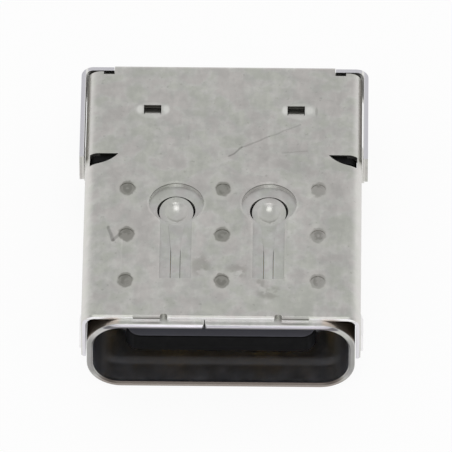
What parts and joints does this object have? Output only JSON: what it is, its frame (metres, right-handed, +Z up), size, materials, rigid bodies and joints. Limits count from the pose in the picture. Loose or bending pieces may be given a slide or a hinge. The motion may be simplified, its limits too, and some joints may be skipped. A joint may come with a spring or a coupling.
{
  "type": "usb-c socket",
  "caption": "Board-edge receptacle for a reversible oval plug: rolled inner shell, folded outer shell with spring windows, contact tongue, board legs and solder tails.",
  "frame": {"origin": "centre of the plug mouth, in the plane of the inner shell's front rim", "axes": "+Y into the socket from the mouth to the back, +X to the right seen from the mouth, +Z up, away from the board"},
  "size_m": [0.0094, 0.0124, 0.0031],
  "materials": {
    "rolled_stainless": "satin",
    "folded_stainless": "satin",
    "sheet_stainless": "satin",
    "black_moulding": "matte",
    "gold_contact": "satin"
  },
  "bodies": {
    "root": {"inner_shell": "rolled_stainless", "outer_shell": "folded_stainless", "tongue_housing": "black_moulding", "upper_block": "black_moulding", "lower_block": "black_moulding", "mid_plate": "sheet_stainless", "upper_ground_plate": "sheet_stainless", "lower_ground_plate": "sheet_stainless", "upper_contact_01": "gold_contact", "upper_contact_02": "gold_contact", "upper_contact_03": "gold_contact", "upper_contact_04": "gold_contact", "upper_contact_05": "gold_contact", "upper_contact_06": "gold_contact", "upper_contact_07": "gold_contact", "upper_contact_08": "gold_contact", "upper_contact_09": "gold_contact", "upper_contact_10": "gold_contact", "upper_contact_11": "gold_contact", "upper_contact_12": "gold_contact", "lower_contact_01": "gold_contact", "lower_contact_02": "gold_contact", "lower_contact_03": "gold_contact", "lower_contact_04": "gold_contact", "lower_contact_05": "gold_contact", "lower_contact_06": "gold_contact", "lower_contact_07": "gold_contact", "lower_contact_08": "gold_contact", "lower_contact_09": "gold_contact", "lower_contact_10": "gold_contact", "lower_contact_11": "gold_contact", "lower_contact_12": "gold_contact"}
  },
  "joints": []
}
